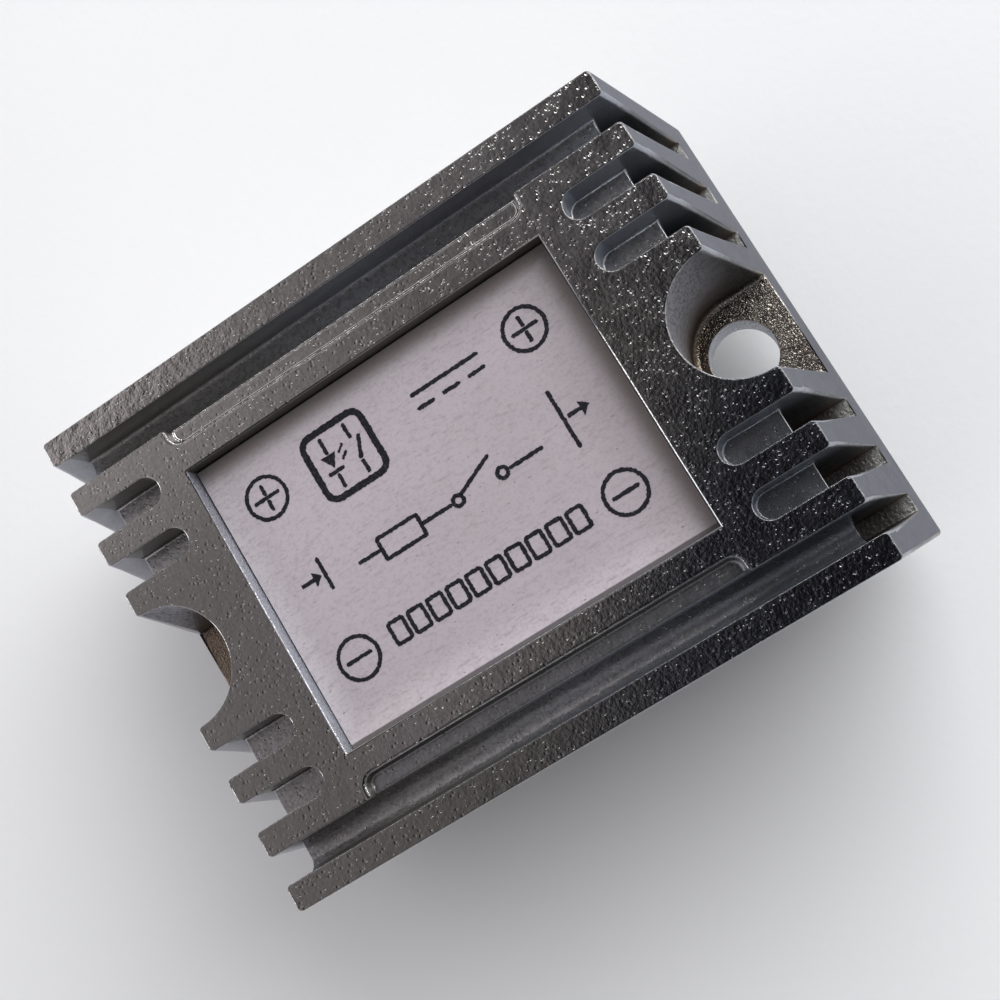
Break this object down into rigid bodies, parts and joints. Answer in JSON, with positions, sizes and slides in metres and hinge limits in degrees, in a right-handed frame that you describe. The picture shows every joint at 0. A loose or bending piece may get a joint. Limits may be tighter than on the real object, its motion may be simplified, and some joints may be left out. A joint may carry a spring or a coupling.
{
  "type": "solid state relay",
  "caption": "Solid state relay in a finned die-cast metal case with a flange for two screws, a printed plate on top and terminal pins underneath.",
  "frame": {"origin": "centre of the mounting face, on the plane where the flange meets what it is screwed to", "axes": "+X to the output terminals, along the length; +Y to the positive terminals; +Z out of the printed plate"},
  "size_m": [0.052, 0.036, 0.027],
  "materials": {
    "case_metal": "dark nickel-plated die casting, lightly pitted, semi-gloss",
    "label": "off-white printed plate, satin",
    "adhesive": "clear film",
    "cover_plastic": "dark laminate, satin",
    "pin_metal": "tin-plated brass, semi-bright",
    "bushing_plastic": "natural nylon, satin",
    "resin": "cast epoxy, glossy",
    "board": "glass-epoxy board with green mask",
    "solder": "solder, bright",
    "moulding": "black moulded epoxy, matte",
    "tinned_copper": "tinned copper, satin",
    "wafer_ceramic": "white alumina, matte",
    "screw_steel": "zinc-plated steel",
    "white_moulding": "white moulded epoxy, matte",
    "lacquer": "blue lacquer",
    "diode_glass": "orange-brown glass",
    "sleeve": "dark blue shrink sleeve",
    "capacitor_resin": "amber dipped resin"
  },
  "bodies": {
    "root": {"housing": "case_metal", "label_plate": "label", "label_adhesive": "adhesive", "base_cover": "cover_plastic", "input_pin_positive": "pin_metal", "input_pin_negative": "pin_metal", "output_pin_positive": "pin_metal", "output_pin_negative": "pin_metal", "pin_bushings": "bushing_plastic", "potting_compound": "resin", "circuit_board": "board", "solder_joints": "solder", "transistor_body": "moulding", "transistor_tab": "tinned_copper", "transistor_legs": "tinned_copper", "insulator_wafer": "wafer_ceramic", "tab_screw": "screw_steel", "tab_bush": "bushing_plastic", "isolator_body": "white_moulding", "isolator_leads": "tinned_copper", "input_resistor": "lacquer", "gate_resistor": "lacquer", "input_diode": "moulding", "gate_zener": "diode_glass", "output_suppressor": "moulding", "driver_transistor": "moulding", "driver_legs": "tinned_copper", "input_capacitor": "sleeve", "snubber_capacitor": "capacitor_resin", "component_leads": "tinned_copper"}
  },
  "joints": []
}
